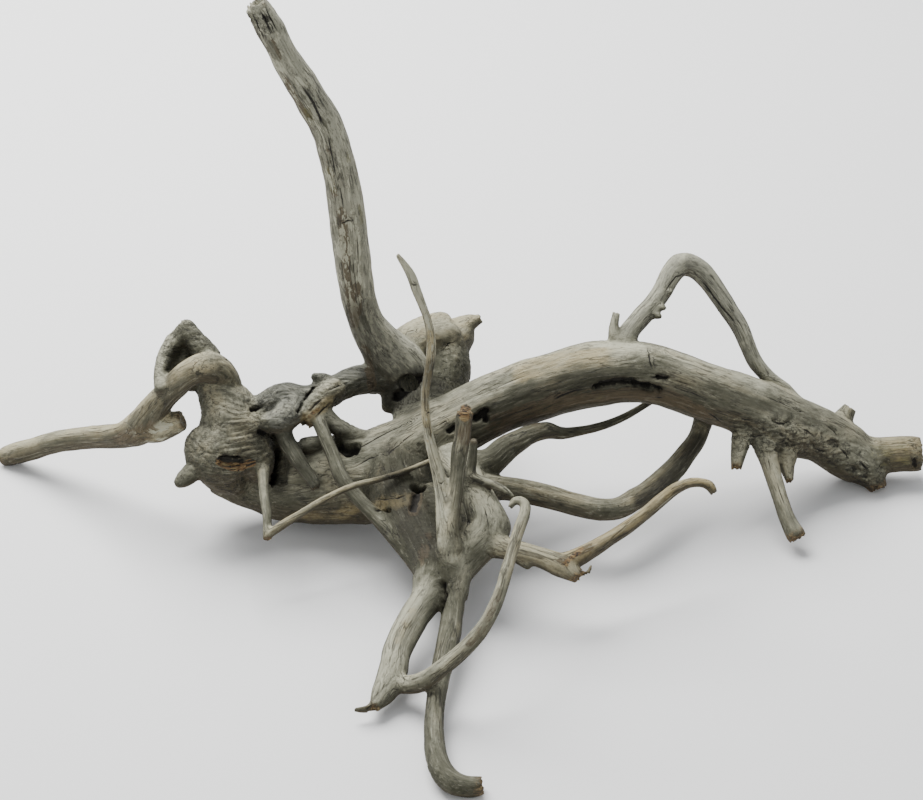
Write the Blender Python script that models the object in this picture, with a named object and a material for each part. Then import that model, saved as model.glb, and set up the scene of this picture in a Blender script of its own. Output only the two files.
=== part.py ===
"""A weathered piece of driftwood: one grown body of wood with an arched trunk, a tall limb, a root
crown with long roots, thin twigs, two burls and broken stubs. It rests on three low spots."""

import math

import bmesh
import bpy
import numpy as np
from mathutils import Matrix, Vector, noise

# Driving dimensions, in metres
OVERALL_LENGTH = 0.958
MESH_STEP = 0.0026
SET_DOWN = 0.0046
FLOOR_SIZE = (1.2, 1.4, 0.1)

# The share of the fine skin's faces that is kept
KEPT_FACES = 0.052

# Every route below is drawn in millimetres as the piece looks to someone who stands in front of it
# and looks down on it at a slant: how far across from the left, how far down from the top, how far
# back from the viewer's side, and the radius there. What lies further back is drawn a little smaller.
DRAWN_LENGTH = 958.0
DRAWING_CENTRE_ACROSS = 461.5
DRAWING_CENTRE_DOWN = 400.0
DRAWING_BACK = 300.0
VIEW_TILT = math.radians(35)
VIEW_DISTANCE = 3500.0
MILLIMETRE = OVERALL_LENGTH / DRAWN_LENGTH
UPWARD = Vector((0, math.sin(VIEW_TILT), math.cos(VIEW_TILT)))
BACKWARD = Vector((0, math.cos(VIEW_TILT), -math.sin(VIEW_TILT)))
FRONT_FOOT = (464, 787, 39)

# The main log, from its worn left end up over the arch and down to the right burl
TRUNK = [
    (214, 483, 372, 10), (234, 484, 370, 19), (262, 485, 367, 28.5), (280, 486, 365, 35),
    (305, 484, 361, 40), (345, 479, 354, 46), (376, 475, 352, 47), (404, 458, 350, 40.5),
    (450, 427, 350, 32), (500, 403, 350, 32), (550, 385.5, 351, 32), (600, 374.5, 353, 31.5),
    (648, 373.5, 356, 31), (675, 381.5, 360, 29.5), (700, 390, 364, 28.8), (745, 405, 380, 30.5),
    (782, 423, 398, 33.5), (817, 434, 416, 28), (850, 454, 427, 27), (868, 470, 426, 21.5),
    (877, 486, 426, 10),
]
RIGHT_END = [
    (846, 450, 428, 20), (880, 456, 430, 18.8), (900, 454.5, 431, 18), (914, 454.5, 432, 18.2),
]
RIGHT_THORN = [(839, 428, 430, 14), (847, 414, 430, 8), (850, 406.5, 430, 6.5)]
TRUNK_KNOB = [(640, 370, 345, 18), (654, 353, 345, 11)]

# The tall limb that stands up from the trunk, with its splintered tip
TALL_LIMB = [
    (257.5, 5, 132, 11), (265.5, 20, 139, 14.4), (276.5, 40, 151, 14.4), (287.5, 60, 164, 14.4),
    (300.5, 80, 177, 15.8), (312.5, 100, 190, 16), (325, 120, 203, 16.4), (335.5, 150, 222, 17),
    (343, 180, 244, 17.4), (347.5, 210, 265, 17.8), (350.5, 240, 286, 17.8), (354, 270, 306, 17.6),
    (359, 300, 326, 17.2), (366, 322, 344, 17.8), (378, 342, 360, 21.5), (391, 358, 374, 26),
    (405, 372, 384, 25), (411, 398, 380, 21), (408, 432, 366, 18),
]
TIP_SPLINTER = [(256, 18, 134, 7), (250, 11, 131, 4.5)]

# The burl behind the tall limb, which leans down into the trunk
BACK_BURL = [
    (404, 350, 400, 23), (425, 342, 418, 27), (447, 338, 430, 26.5), (456, 335, 434, 21),
    (469, 323, 436, 9), (479, 319, 436, 4.5),
]
BACK_BURL_ROOT = [(440, 346, 430, 28), (439, 371, 422, 32), (432, 398, 404, 28), (422, 425, 376, 26)]
BURL_SPUR = [(404, 392, 385, 16), (391, 400, 376, 11), (387, 409, 370, 6)]

# The gnarled bridge of roots between the tall limb and the left head
BRIDGE = [
    (390, 374, 378, 19), (374, 378, 374, 16.5), (355, 381, 366, 14.5), (335, 389, 356, 14),
    (320, 397, 346, 15), (303, 398.5, 340, 14), (285, 399, 336, 17), (263, 408, 332, 15),
    (246, 417, 330, 19),
]
BRIDGE_LIP = [(332, 384, 350, 9), (319, 378, 344, 6), (313, 376, 341, 4)]
SPLINTERED_BLOCK = [(322, 395, 342, 12), (312, 408, 336, 12), (305, 418, 331, 10.5)]
PALE_LOBE = [(292, 402, 332, 14), (283, 418, 326, 13.5), (275, 425, 324, 10)]
BRIDGE_BACK = [(262, 412, 350, 17), (270, 440, 358, 16), (276, 465, 362, 20)]
ROOT_LOOP = [
    (314, 404, 336, 12), (328, 420, 334, 10), (345, 431, 334, 9), (362, 438, 336, 9),
    (386, 446, 342, 12),
]
LOOP_KNOB = [(324, 442, 330, 7), (310, 444, 327, 8), (302, 445, 327, 7)]

# The left head: a knot of swirled wood with a hood, from which the arm reaches out
HEAD = [
    (212, 370, 330, 17), (219, 391, 330, 21.5), (229, 412, 330, 30.5), (230, 431, 330, 33),
    (221, 452, 332, 39), (221, 465, 340, 29), (236, 479, 355, 19),
]
HEAD_CREST = [(184, 331, 338, 13), (195, 341, 334, 11.5), (206, 355, 331, 14), (217, 378, 330, 17)]
HOOD_EDGE = [
    (186, 330, 338, 11.5), (175, 342, 334, 10), (165, 358, 326, 8.5), (160, 377, 314, 6.8),
    (161, 390, 306, 7.5),
]
HOOD_BACK = [(188, 344, 346, 12), (182, 362, 344, 13), (186, 377, 336, 12), (208, 381, 334, 12)]
HEAD_CHEEK = [(236, 440, 322, 26), (252, 452, 326, 23), (262, 462, 340, 22)]
HEAD_STUB = [(206, 464, 326, 14), (192, 473, 318, 10), (181, 481, 312, 7.5), (177, 484, 310, 5)]
ARM = [
    (219, 368, 318, 15), (205, 367, 306, 15), (190, 373, 306, 13), (176, 385, 312, 13),
    (164, 397, 322, 13), (152, 412, 334, 15), (140, 427, 348, 17), (126, 434, 362, 13.5),
    (112, 436, 376, 12), (90, 437, 398, 11.5), (60, 441, 424, 11), (32, 449, 448, 11),
    (14, 454, 461, 11), (7, 456, 467, 10.5),
]
ELBOW_STUB = [(140, 425, 346, 16), (158, 428, 340, 14), (171, 424, 336, 12.5), (180, 421, 333, 10.5)]

# The root crown in front of the trunk, with its right lobe
CROWN = [
    (396, 468, 335, 34), (404, 500, 305, 32), (418, 530, 275, 27), (430, 554, 250, 24),
    (438, 575, 232, 22), (445, 594, 216, 15), (445, 607, 206, 8),
]
CROWN_LOBE = [
    (455, 462, 318, 24), (472, 488, 275, 17), (484, 510, 252, 18.5), (490, 529, 243, 20.5),
    (476, 547, 238, 19.5), (458.5, 574, 228, 14.5), (456, 596, 216, 12),
]
CROWN_WEB = [(430, 500, 290, 22), (455, 520, 262, 20), (458, 548, 245, 18)]

# Long roots under the crown: the left foot, the long root to the front foot and the hooked root
LEFT_FOOT = [
    (432, 580, 226, 19.5), (427.5, 597, 214, 16), (415.5, 615, 200, 14.5), (404.5, 634, 184, 14.4),
    (397, 652, 168, 13.5), (394, 668, 153, 14), (389, 683, 141, 13.5), (381, 697, 131, 10.5),
    (375, 706, 123, 6.5),
]
LEFT_FOOT_SPLINTER = [(381, 701, 128, 7), (368, 709, 121, 4.4), (355, 710, 119, 2.8)]
LONG_ROOT = [
    (455, 575, 228, 14), (453.5, 592, 216, 12.5), (452, 615, 200, 11.4), (448.5, 640, 178, 11.2),
    (442.5, 665, 156, 10.6), (437.5, 690, 131, 9.8), (434.5, 715, 104, 9.8), (434.5, 740, 78, 10.2),
    (437, 757, 60, 11), (442.5, 771, 47, 12), (453.5, 782.5, 39.5, 12.6), (467, 786.5, 37.5, 12),
    (479, 785.5, 37.5, 10.8),
]
HOOKED_ROOT = [
    (399, 684, 140, 9), (413, 684, 134, 9.6), (427, 679, 121, 9.4), (440, 669.5, 112, 8.6),
    (454, 658.5, 108, 8.4), (469.5, 644.5, 103, 8), (480.5, 631.5, 100, 8), (489.5, 617.5, 99, 7.6),
    (496.5, 602, 103, 7.2), (502, 587, 107, 6.8), (506.5, 571, 112, 6.8), (511, 556, 120, 6.4),
    (515.5, 540, 126, 6.5), (520.5, 525, 132, 6.3), (525, 512, 137, 6), (525, 504, 141, 5.4),
    (519, 500, 143, 4.6), (513, 502, 144, 4), (511, 507, 144, 3.2),
]

# Upright twigs and short branches on the crown
TALL_TWIG = [
    (397.5, 255, 189, 2.8), (404, 264, 194, 3.8), (411, 275, 199, 5), (416.5, 290, 205, 5.3),
    (422, 304, 209, 4.7), (427, 318, 213, 4.3), (431, 338, 217, 4.9), (431, 355, 220, 5.3),
    (428, 375, 222, 5.1), (425, 395, 224, 4.7), (426, 416, 226, 4.9), (429, 437, 229, 5.4),
    (435, 460, 229, 6.3), (440, 480, 227, 7), (443, 500, 225, 7.4), (445, 524, 222, 9),
    (448, 544, 222, 11), (452, 562, 226, 13),
]
CUT_TWIG = [
    (465, 414, 230, 9), (463, 434, 230, 8.4), (460, 452, 228, 8.8), (458, 470, 226, 7.8),
    (456, 490, 223, 7.6), (453, 510, 220, 7.6), (451, 528, 218, 9), (452, 548, 222, 13),
]
FORK_ARM = [(474, 440, 252, 4.2), (473, 456, 254, 5), (470, 478, 257, 6.5), (472, 500, 256, 9)]
FORK_TWIG = [
    (468, 476, 256, 6), (482, 481, 250, 5.2), (496, 486, 243, 4.7), (506, 491, 238, 3.8),
    (513, 497, 235, 2.6),
]
FRONT_BRANCH = [
    (482, 536, 240, 17), (500, 546, 230, 12.5), (520, 551, 224, 11), (542, 557.5, 219, 10.5),
    (562, 566, 215, 11.5), (577, 575.5, 211, 7.5),
]
TAN_BRANCH = [
    (560, 561, 218, 8), (574, 558.5, 218, 9.7), (590, 550.5, 219, 9), (609, 539, 223, 7.6),
    (629, 526, 229, 7.2), (648, 511.2, 234, 7), (662, 499, 237, 6.6), (676, 488.5, 239, 6),
    (690, 482.8, 240, 5.2), (702, 482.8, 240, 4.8), (710, 486, 240, 5.2), (713, 492, 240, 4.4),
]
BRANCH_NUB = [(512, 552, 226, 7.5), (522, 561, 222, 5.8), (529, 567, 220, 4.2)]
BRANCH_SPLINTER = [(572, 573, 213, 5), (583, 576, 211, 3.4), (589, 571.5, 210, 2.6), (591, 565, 211, 2)]

# Branches behind the crown and under the arch
DARK_BRANCH = [
    (468, 468, 305, 20), (488, 463, 305, 15.5), (508, 447, 312, 13.5), (528, 435.5, 322, 10.4),
    (546, 430.5, 332, 9.2), (562, 433.2, 342, 6.6), (580, 431, 352, 5.2), (600, 426.5, 362, 4.6),
    (620, 419, 374, 4.2), (645, 405, 388, 3.8), (662, 394, 385, 3.6), (676, 385, 372, 4),
]
UNDER_BRANCH = [
    (480, 489, 285, 16), (505, 488, 298, 12.4), (522, 491, 304, 12), (546, 496, 304, 12),
    (572, 503.5, 302, 11.5), (600, 509.5, 300, 11.4), (617, 508.5, 306, 11.4), (636, 499.5, 320, 12),
    (655, 487.5, 338, 12.2), (671.5, 472.5, 356, 11.6), (685.5, 455.5, 372, 10.6),
    (697.5, 438, 384, 9.6), (703.5, 420, 386, 9.4), (706, 402, 376, 13),
]

# The arched branch over the right half of the trunk
ARCH = [
    (614, 357, 352, 13), (622.5, 341, 358, 10.8), (637.5, 321, 364, 9.8), (651, 306.5, 369, 9.6),
    (662, 291.5, 374, 9.8), (670.5, 275, 379, 10.4), (683, 263.5, 385, 11.4), (696.5, 268.3, 389, 10.8),
    (708, 280, 391, 10), (719, 295, 393, 9.4), (729.5, 311, 394, 8.9), (740, 327.3, 395, 8.4),
    (748, 345.5, 396, 8), (756.5, 363.5, 398, 7.6), (768, 376, 401, 6.8), (784, 389, 404, 6.2),
    (800, 404, 408, 7),
]
ARCH_NUB = [(618, 350, 352, 8), (613.5, 333, 352, 5.6), (616, 314, 352, 4.2)]
ARCH_THORNS = [
    [(655, 304, 367, 6), (665, 308.5, 362, 3)],
    [(651, 313, 367, 6), (661, 317, 361, 2.8)],
    [(664, 290, 372, 6), (671.5, 292.5, 365, 2.8)],
]

# Thin roots and props under the bridge
PROP = [
    (314, 408, 328, 8), (321, 426, 318, 7.4), (333, 455, 304, 7), (342, 478, 292, 7.8),
    (357, 497, 286, 7.4), (373, 513.5, 276, 7.6), (392, 533, 264, 8.6), (409, 552, 252, 9.6),
    (428, 570, 240, 13),
]
BROKEN_PEG = [
    (280, 424, 328, 9), (288, 444, 320, 8.6), (300, 463, 312, 7.4), (309, 476, 308, 6),
    (315, 486, 305, 5.4),
]
HANGING_ROOT = [
    (258, 448, 316, 9), (262, 466, 298, 5.8), (264, 495, 276, 5.2), (267, 516, 264, 5),
    (267, 538, 254, 4.6),
]
THIN_ROOT = [
    (266, 537, 253, 3.8), (278, 528, 254, 4.6), (300, 514, 257, 4.1), (325, 499, 262, 3.9),
    (350, 487, 268, 3.7), (380, 479, 276, 3.5), (408, 470, 284, 3.3), (430, 461, 292, 3.1),
    (446, 455, 308, 3.2),
]

# Broken stubs under the right burl
HANGING_STUBS = [
    [(745, 430, 378, 13), (740, 447, 366, 9), (737.5, 460, 360, 7.2), (736.5, 466.5, 357, 6)],
    [(787, 450, 392, 13), (787, 466, 378, 8.4), (789.5, 480, 370, 4.6)],
    [
        (763, 440, 382, 14), (768, 456, 372, 10.6), (774, 478, 358, 8.7), (780.3, 498, 348, 8.3),
        (786, 515, 342, 8.2), (792, 528, 339, 9.2), (796, 535, 337, 10.4),
    ],
]

LIMBS = [
    TRUNK, RIGHT_END, RIGHT_THORN, TRUNK_KNOB, TALL_LIMB, TIP_SPLINTER, BACK_BURL, BACK_BURL_ROOT,
    BURL_SPUR, BRIDGE, BRIDGE_LIP, SPLINTERED_BLOCK, PALE_LOBE, BRIDGE_BACK, ROOT_LOOP, LOOP_KNOB,
    HEAD, HEAD_CREST, HOOD_EDGE, HOOD_BACK, HEAD_CHEEK, HEAD_STUB, ARM, ELBOW_STUB, CROWN,
    CROWN_LOBE, CROWN_WEB, LEFT_FOOT, LEFT_FOOT_SPLINTER, LONG_ROOT, HOOKED_ROOT, TALL_TWIG,
    CUT_TWIG, FORK_ARM, FORK_TWIG, FRONT_BRANCH, TAN_BRANCH, BRANCH_NUB, BRANCH_SPLINTER,
    DARK_BRANCH, UNDER_BRANCH, ARCH, ARCH_NUB, *ARCH_THORNS, PROP, BROKEN_PEG, HANGING_ROOT,
    THIN_ROOT, *HANGING_STUBS,
]

# Hollows that rot and insects left: along the trunk, on the crown, under the burls, in the head
# and beneath the bridge
HOLLOWS = [
    [
        (594, 387, 327, 2.5), (612, 382, 329, 5), (632, 382, 330, 6), (648, 384, 328, 4.5),
        (656, 388, 324, 2),
    ],
    [(476, 420, 322, 4), (484, 415, 324, 7), (492, 412, 322, 3)],
    [(415, 486, 272, 4), (419, 497, 272, 7), (416, 512, 262, 4)],
    [(404, 382, 360, 8), (414, 384, 378, 13), (420, 376, 392, 9)],
    [(179, 350, 322, 6), (179, 362, 318, 9), (178, 372, 312, 6)],
    [(337, 450, 318, 5), (349, 451, 316, 8), (357, 450, 318, 4)],
    [(276, 446, 324, 5), (280, 463, 330, 8), (283, 484, 326, 5)],
    [(252, 409, 304, 2.5), (258, 408, 304, 4), (263, 407, 306, 2.5)],
]

# How a limb is swept
SIDES = 20
RING_STEP = 4.0
CAP_RINGS = 3
CAP_BULGE = 0.5
LUMP_SIZE = 38.0
LUMP_HEIGHT = 0.05
FLUTE_LENGTH = 110.0
FLUTE_HEIGHT = 0.05
FLUTE_COUNT = 1.5
SEED_STEP = 10.0


def growth(back):
    """How much larger a thing at this depth is than it is drawn."""
    return 1 + (back - DRAWING_BACK) / VIEW_DISTANCE


def place(across, down, back):
    """Turn a drawn point into its place on the standing piece, in metres."""
    aside = (across - DRAWING_CENTRE_ACROSS) * growth(back)
    rise = DRAWING_CENTRE_DOWN + (DRAWING_CENTRE_DOWN - down) * growth(back)
    return (Vector((aside, 0, 0)) + rise * UPWARD + back * BACKWARD) * MILLIMETRE


def smooth_route(route):
    """Carry a smooth curve through a route's points and return the place, radius and distance along
    it of each ring."""
    knots = np.array([
        (*place(across, down, back), radius * growth(back) * MILLIMETRE)
        for across, down, back, radius in route
    ])
    gaps = np.linalg.norm(np.diff(knots[:, :3], axis=0), axis=1)
    along = np.concatenate([[0], np.cumsum(gaps)])
    slopes = np.gradient(knots, along, axis=0)
    count = max(3, round(along[-1] / (RING_STEP * MILLIMETRE)))
    stations = np.linspace(0, along[-1], count + 1)
    cell = np.clip(np.searchsorted(along, stations, side="right") - 1, 0, len(gaps) - 1)
    t = ((stations - along[cell]) / gaps[cell])[:, None]
    gap = gaps[cell][:, None]
    curve = (
        (1 + 2 * t) * (1 - t) ** 2 * knots[cell]
        + t * (1 - t) ** 2 * gap * slopes[cell]
        + t ** 2 * (3 - 2 * t) * knots[cell + 1]
        + t ** 2 * (t - 1) * gap * slopes[cell + 1]
    )
    return [(Vector(row[:3]), float(row[3]), station) for row, station in zip(curve, stations)]


def with_rounded_ends(rings):
    """Add a low dome of shrinking rings before the first ring and after the last one."""
    domes = []
    for end, inner in ((0, 1), (-1, -2)):
        middle, radius, station = rings[end]
        outward = (middle - rings[inner][0]).normalized()
        dome = []
        for ring in range(1, CAP_RINGS + 1):
            angle = 0.5 * math.pi * ring / (CAP_RINGS + 0.5)
            tip = middle + outward * CAP_BULGE * radius * math.sin(angle)
            dome.append((tip, radius * math.cos(angle), station))
        domes.append(dome)
    return domes[0][::-1] + rings + domes[1]


def sweep(mesh, route, seed):
    """Sweep one limb along its route, with long flutes and soft lumps, as a closed skin."""
    rings = with_rounded_ends(smooth_route(route))
    side = (rings[1][0] - rings[0][0]).orthogonal()
    loops = []
    for index, (middle, radius, station) in enumerate(rings):
        before = rings[max(index - 1, 0)][0]
        after = rings[min(index + 1, len(rings) - 1)][0]
        ahead = (after - before).normalized()
        side = (side - side.dot(ahead) * ahead).normalized()
        other = ahead.cross(side)
        loop = []
        for step in range(SIDES):
            angle = 2 * math.pi * step / SIDES
            outward = math.cos(angle) * side + math.sin(angle) * other
            lump = noise.noise((middle + radius * outward) / (LUMP_SIZE * MILLIMETRE))
            turned = FLUTE_COUNT * Vector((math.cos(angle), math.sin(angle), 0))
            turned.z = seed + station / (FLUTE_LENGTH * MILLIMETRE)
            swell = 1 + LUMP_HEIGHT * lump + FLUTE_HEIGHT * noise.noise(turned)
            loop.append(mesh.verts.new(middle + radius * swell * outward))
        loops.append(loop)
    for first, second in zip(loops, loops[1:]):
        for step in range(SIDES):
            following = (step + 1) % SIDES
            mesh.faces.new((first[step], first[following], second[following], second[step]))
    mesh.faces.new(loops[0][::-1])
    mesh.faces.new(loops[-1])


def linked_object(name, mesh):
    """Turn a finished mesh into an object of the scene."""
    data = bpy.data.meshes.new(name)
    mesh.to_mesh(data)
    mesh.free()
    made = bpy.data.objects.new(name, data)
    bpy.context.scene.collection.objects.link(made)
    return made


def swept_object(name, routes):
    """Make one object whose mesh holds a swept skin for each route."""
    skins = bmesh.new()
    for index, route in enumerate(routes):
        sweep(skins, route, SEED_STEP * index)
    foot = place(*FRONT_FOOT)
    skins.transform(Matrix.Translation((-foot.x, -foot.y, -SET_DOWN)))
    bmesh.ops.recalc_face_normals(skins, faces=skins.faces)
    return linked_object(name, skins)


def floor_slab():
    """A slab whose top lies at the level that the piece stands on."""
    slab = bmesh.new()
    bmesh.ops.create_cube(slab, size=1)
    slab.transform(Matrix.Diagonal((*FLOOR_SIZE, 1)))
    slab.transform(Matrix.Translation((0, 0.25 * FLOOR_SIZE[1], -0.5 * FLOOR_SIZE[2])))
    return linked_object("floor_level", slab)


def cut_away(body, name, cutter):
    """Cut one object's shape out of another; the cutter is no piece of wood itself."""
    cutter.hide_render = True
    cutter.display_type = "WIRE"
    cut = body.modifiers.new(name, "BOOLEAN")
    cut.operation = "DIFFERENCE"
    cut.object = cutter


def grow_together(body, name):
    """Turn overlapping skins into one even skin."""
    skin = body.modifiers.new(name, "REMESH")
    skin.mode = "VOXEL"
    skin.voxel_size = MESH_STEP
    skin.use_smooth_shade = True


def weathered_wood():
    """Dry silver-grey wood with a warm cast."""
    wood = bpy.data.materials.new("weathered_wood")
    wood.use_nodes = True
    surface = wood.node_tree.nodes["Principled BSDF"]
    surface.inputs["Base Color"].default_value = (0.33, 0.3, 0.24, 1)
    surface.inputs["Roughness"].default_value = 0.85
    surface.inputs["Metallic"].default_value = 0.0
    return wood


for old in list(bpy.data.objects):
    bpy.data.objects.remove(old)

# The limbs grow into one skin, which is hollowed, softened at its joints, thinned to fewer faces
# and set down flat
driftwood = swept_object("driftwood", LIMBS)
driftwood.data.materials.append(weathered_wood())
grow_together(driftwood, "limbs_grown_together")
cut_away(driftwood, "rotted_out", swept_object("rotted_hollows", HOLLOWS))
grow_together(driftwood, "rims_evened_out")
softened = driftwood.modifiers.new("joints_softened", "SMOOTH")
softened.factor = 0.5
softened.iterations = 4
thinned = driftwood.modifiers.new("faces_thinned_out", "DECIMATE")
thinned.ratio = KEPT_FACES
cut_away(driftwood, "stood_flat", floor_slab())
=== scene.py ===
import math

import bmesh
import bpy
import numpy as np
from mathutils import Matrix, Vector, noise
from mathutils.bvhtree import BVHTree


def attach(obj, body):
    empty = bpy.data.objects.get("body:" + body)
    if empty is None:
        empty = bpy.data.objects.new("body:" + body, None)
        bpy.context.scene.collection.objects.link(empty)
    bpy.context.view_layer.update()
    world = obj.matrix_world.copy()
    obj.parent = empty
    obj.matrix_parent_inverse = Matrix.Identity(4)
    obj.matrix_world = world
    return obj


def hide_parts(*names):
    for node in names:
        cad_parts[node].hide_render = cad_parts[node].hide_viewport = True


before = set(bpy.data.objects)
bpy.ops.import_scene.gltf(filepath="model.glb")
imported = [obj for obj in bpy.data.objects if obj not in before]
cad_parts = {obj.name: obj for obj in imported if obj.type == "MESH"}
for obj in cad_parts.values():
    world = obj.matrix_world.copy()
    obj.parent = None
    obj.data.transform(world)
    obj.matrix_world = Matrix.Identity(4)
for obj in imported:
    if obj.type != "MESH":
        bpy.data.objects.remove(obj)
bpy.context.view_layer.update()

# The piece of driftwood is one grown body of wood: a root crown with an arched trunk, a tall limb,
# burls, long roots and thin twigs. Water and sun have taken its bark and left it silver-grey, with
# brown undersides, deep grain, cracks and hollows.

# It is drawn as it looks to someone who stands in front of it and looks down at a slant. Each point
# of a limb's route gives millimetres across from the left, down from the top and back from the
# viewer's side, and the radius there.
MILLIMETRE = 0.001
DRAWING_CENTRE_ACROSS = 461.5
DRAWING_CENTRE_DOWN = 400.0
DRAWING_BACK = 300.0
VIEW_TILT = math.radians(35)
VIEW_DISTANCE = 3500.0
UPWARD = Vector((0, math.sin(VIEW_TILT), math.cos(VIEW_TILT)))
BACKWARD = Vector((0, math.cos(VIEW_TILT), -math.sin(VIEW_TILT)))
FRONT_FOOT = (464, 787, 39)
SET_DOWN = 4.6

# The main log, from its worn left end up over the arch and down to the right burl
TRUNK = [
    (214, 483, 372, 10), (234, 484, 370, 19), (262, 485, 367, 28.5), (280, 486, 365, 35),
    (305, 484, 361, 40), (345, 479, 354, 46), (376, 475, 352, 47), (404, 458, 350, 40.5),
    (450, 427, 350, 32), (500, 403, 350, 32), (550, 385.5, 351, 32), (600, 374.5, 353, 31.5),
    (648, 373.5, 356, 31), (675, 381.5, 360, 29.5), (700, 390, 364, 28.8), (745, 405, 380, 30.5),
    (782, 423, 398, 33.5), (817, 434, 416, 28), (850, 454, 427, 27), (868, 470, 426, 21.5),
    (877, 486, 426, 10),
]
RIGHT_END = [
    (846, 450, 428, 20), (880, 456, 430, 18.8), (900, 454.5, 431, 18), (914, 454.5, 432, 18.2),
]
RIGHT_THORN = [(838, 428, 430, 15), (845, 417, 430, 10), (849, 410, 430, 7.5)]
TRUNK_KNOB = [(640, 370, 345, 18), (654, 353, 345, 11)]

# The tall limb that stands up from the trunk, with its splintered tip
TALL_LIMB = [
    (257.5, 5, 132, 11), (265.5, 20, 139, 14.4), (276.5, 40, 151, 14.4), (287.5, 60, 164, 14.4),
    (300.5, 80, 177, 15.8), (312.5, 100, 190, 16), (325, 120, 203, 16.4), (335.5, 150, 222, 17),
    (343, 180, 244, 17.4), (347.5, 210, 265, 17.8), (350.5, 240, 286, 17.8), (354, 270, 306, 17.6),
    (359, 300, 326, 17.2), (366, 322, 344, 17.8), (378, 342, 360, 21.5), (391, 358, 374, 26),
    (405, 372, 384, 25), (411, 398, 380, 21), (408, 432, 366, 18),
]
TIP_SPLINTER = [(256, 18, 134, 7), (250, 11, 131, 4.5)]

# The burl behind the tall limb, which leans down into the trunk
BACK_BURL = [
    (404, 350, 400, 23), (425, 342, 418, 27), (447, 338, 430, 26.5), (456, 335, 434, 21),
    (469, 323, 436, 9), (479, 319, 436, 4.5),
]
BACK_BURL_ROOT = [(440, 346, 430, 28), (439, 371, 422, 32), (432, 398, 404, 28), (422, 425, 376, 26)]
BURL_SPUR = [(404, 392, 385, 16), (391, 400, 376, 11), (387, 409, 370, 6)]

# The gnarled bridge of roots between the tall limb and the left head
BRIDGE = [
    (390, 374, 378, 19), (374, 378, 374, 16.5), (355, 381, 366, 14.5), (335, 389, 356, 14),
    (320, 397, 346, 15), (303, 398.5, 340, 14), (285, 399, 336, 17), (263, 408, 332, 15),
    (246, 417, 330, 19),
]
BRIDGE_LIP = [(332, 384, 350, 9), (319, 378, 344, 6), (313, 376, 341, 4)]
SPLINTERED_BLOCK = [
    (338, 386, 344, 11), (324, 397, 337, 12.5), (313, 408, 331, 12.5), (305, 417, 327, 11),
]
PALE_LOBE = [(292, 402, 332, 14), (288, 415, 321, 14.5), (279, 421, 317, 12.5), (266, 422, 319, 9)]
BRIDGE_BACK = [(262, 412, 350, 17), (270, 440, 358, 16), (276, 465, 362, 20)]
ROOT_LOOP = [
    (314, 404, 336, 12), (328, 420, 334, 10), (345, 431, 334, 9), (362, 438, 336, 9),
    (386, 446, 342, 12),
]
LOOP_KNOB = [(324, 442, 330, 7), (310, 444, 327, 8), (302, 445, 327, 7)]

# The left head: a knot of swirled wood with a hood, from which the arm reaches out
HEAD = [
    (212, 370, 330, 17), (219, 391, 330, 22), (229, 412, 330, 30.5), (230, 431, 330, 32.5),
    (222, 454, 332, 37.5), (222, 465, 340, 29), (236, 479, 355, 19),
]
HEAD_CREST = [(184, 331, 338, 13), (195, 341, 334, 11.5), (206, 355, 331, 14), (217, 378, 330, 17)]
HOOD_EDGE = [
    (186, 330, 338, 11.5), (175, 342, 334, 10), (165, 358, 326, 8.5), (160, 377, 314, 6.8),
    (161, 390, 306, 7.5),
]
HOOD_BACK = [(188, 344, 346, 12), (182, 362, 344, 13), (186, 377, 336, 12), (208, 381, 334, 12)]
HOOD_SIDE = [(178, 346, 342, 10), (170, 362, 336, 10), (168, 378, 326, 9)]
HEAD_CHEEK = [(236, 440, 322, 26), (252, 452, 326, 23), (262, 462, 340, 22)]
HEAD_BROW = [(234, 420, 322, 24), (250, 426, 320, 20), (264, 430, 324, 14)]
HEAD_STUB = [(206, 464, 326, 14), (192, 473, 318, 10), (181, 481, 312, 7.5), (177, 484, 310, 5)]
ARM = [
    (232, 396, 332, 13), (226, 380, 326, 15), (218, 370, 317, 15.5), (205, 367, 306, 15),
    (190, 373, 306, 13), (176, 385, 312, 13), (164, 397, 322, 13), (152, 412, 334, 15),
    (140, 427, 348, 17), (126, 434, 362, 13.5), (112, 436, 376, 12), (90, 437, 398, 11.5),
    (60, 441, 424, 11), (32, 449, 448, 11), (14, 454, 461, 11), (7, 456, 467, 10.5),
]
ELBOW_STUB = [(140, 425, 346, 16), (158, 428, 340, 14), (171, 424, 336, 12.5), (180, 421, 333, 10.5)]

# The root crown in front of the trunk, with its right lobe
CROWN = [
    (396, 468, 335, 34), (404, 500, 305, 32), (418, 530, 275, 27), (430, 554, 250, 24),
    (438, 575, 232, 22), (445, 594, 216, 15), (445, 607, 206, 8),
]
CROWN_LOBE = [
    (455, 462, 318, 24), (472, 488, 275, 17), (484, 510, 252, 18.5), (490, 529, 243, 20.5),
    (476, 547, 238, 19.5), (458.5, 574, 228, 14.5), (456, 596, 216, 12),
]
CROWN_WEB = [(430, 500, 290, 22), (455, 520, 262, 20), (458, 548, 245, 18)]

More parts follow.
